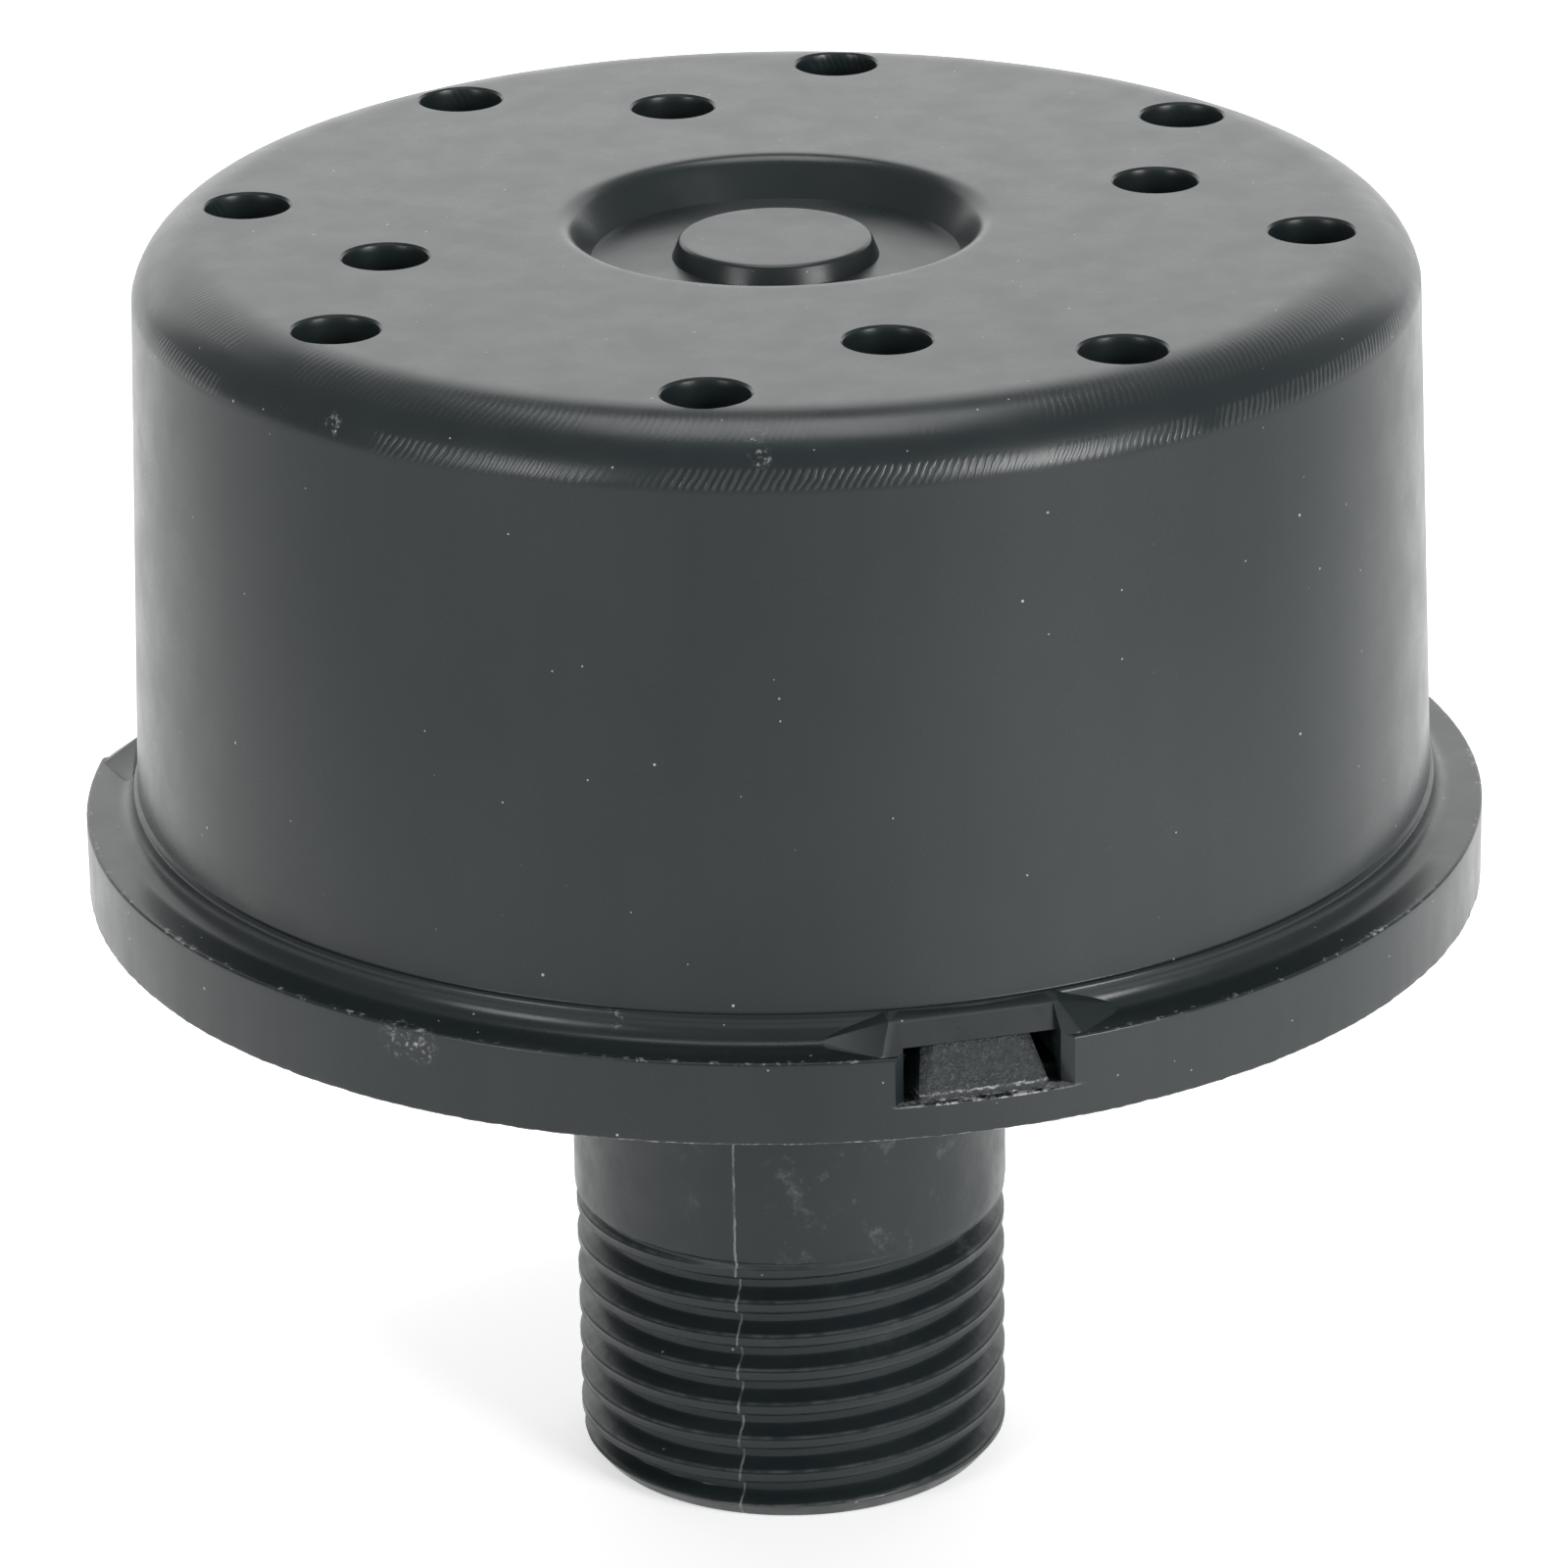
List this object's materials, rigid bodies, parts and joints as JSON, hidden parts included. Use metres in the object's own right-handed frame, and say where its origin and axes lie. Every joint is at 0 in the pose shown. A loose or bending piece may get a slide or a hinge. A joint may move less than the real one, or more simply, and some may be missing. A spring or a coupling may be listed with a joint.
{
  "type": "pneumatic muffler",
  "caption": "Air compressor intake filter silencer: plastic cover with inlet holes, clipped over a round base with a threaded spigot, with a pleated filter element inside.",
  "frame": {"origin": "centre of the spigot's lower end face", "axes": "+Z along the spigot's axis towards the cover's crown, -Y towards one of the three snap windows"},
  "size_m": [0.0668, 0.0668, 0.0628],
  "materials": {
    "housing_plastic": "black-grey moulded plastic with a satin sheen, fine moulding texture and light dust",
    "gasket_rubber": "matte black sheet rubber",
    "element_steel": "pressed zinc-plated sheet, dull",
    "filter_paper": "resin-treated pleated filter paper, cream"
  },
  "bodies": {
    "base": {"base": "housing_plastic", "base_gasket": "gasket_rubber"},
    "cover": {"cover": "housing_plastic"},
    "element": {"element_lower_cap": "element_steel", "element_paper": "filter_paper", "element_core": "element_steel", "element_upper_cap": "element_steel"},
    "snap_hook_1": {"snap_hook_1": "housing_plastic"},
    "snap_hook_2": {"snap_hook_2": "housing_plastic"},
    "snap_hook_3": {"snap_hook_3": "housing_plastic"}
  },
  "joints": [
    {"name": "cover_lift", "type": "slide", "parent": "base", "child": "cover", "axis": [0, 0, 1], "range_m": [0, 0.06]},
    {"name": "element_lift", "type": "slide", "parent": "base", "child": "element", "axis": [0, 0, 1], "range_m": [0, 0.027]},
    {"name": "snap_hook_1_press", "type": "slide", "parent": "base", "child": "snap_hook_1", "axis": [0, 1, 0], "range_m": [0, 0.00145], "stiffness_N_per_m": 2000},
    {"name": "snap_hook_2_press", "type": "slide", "parent": "base", "child": "snap_hook_2", "axis": [-0.866, -0.5, 0], "range_m": [0, 0.00145], "stiffness_N_per_m": 2000},
    {"name": "snap_hook_3_press", "type": "slide", "parent": "base", "child": "snap_hook_3", "axis": [0.866, -0.5, 0], "range_m": [0, 0.00145], "stiffness_N_per_m": 2000}
  ],
  "couplings": [
    {"joint": "element_lift", "follows": "cover_lift", "ratio": 0.45}
  ]
}
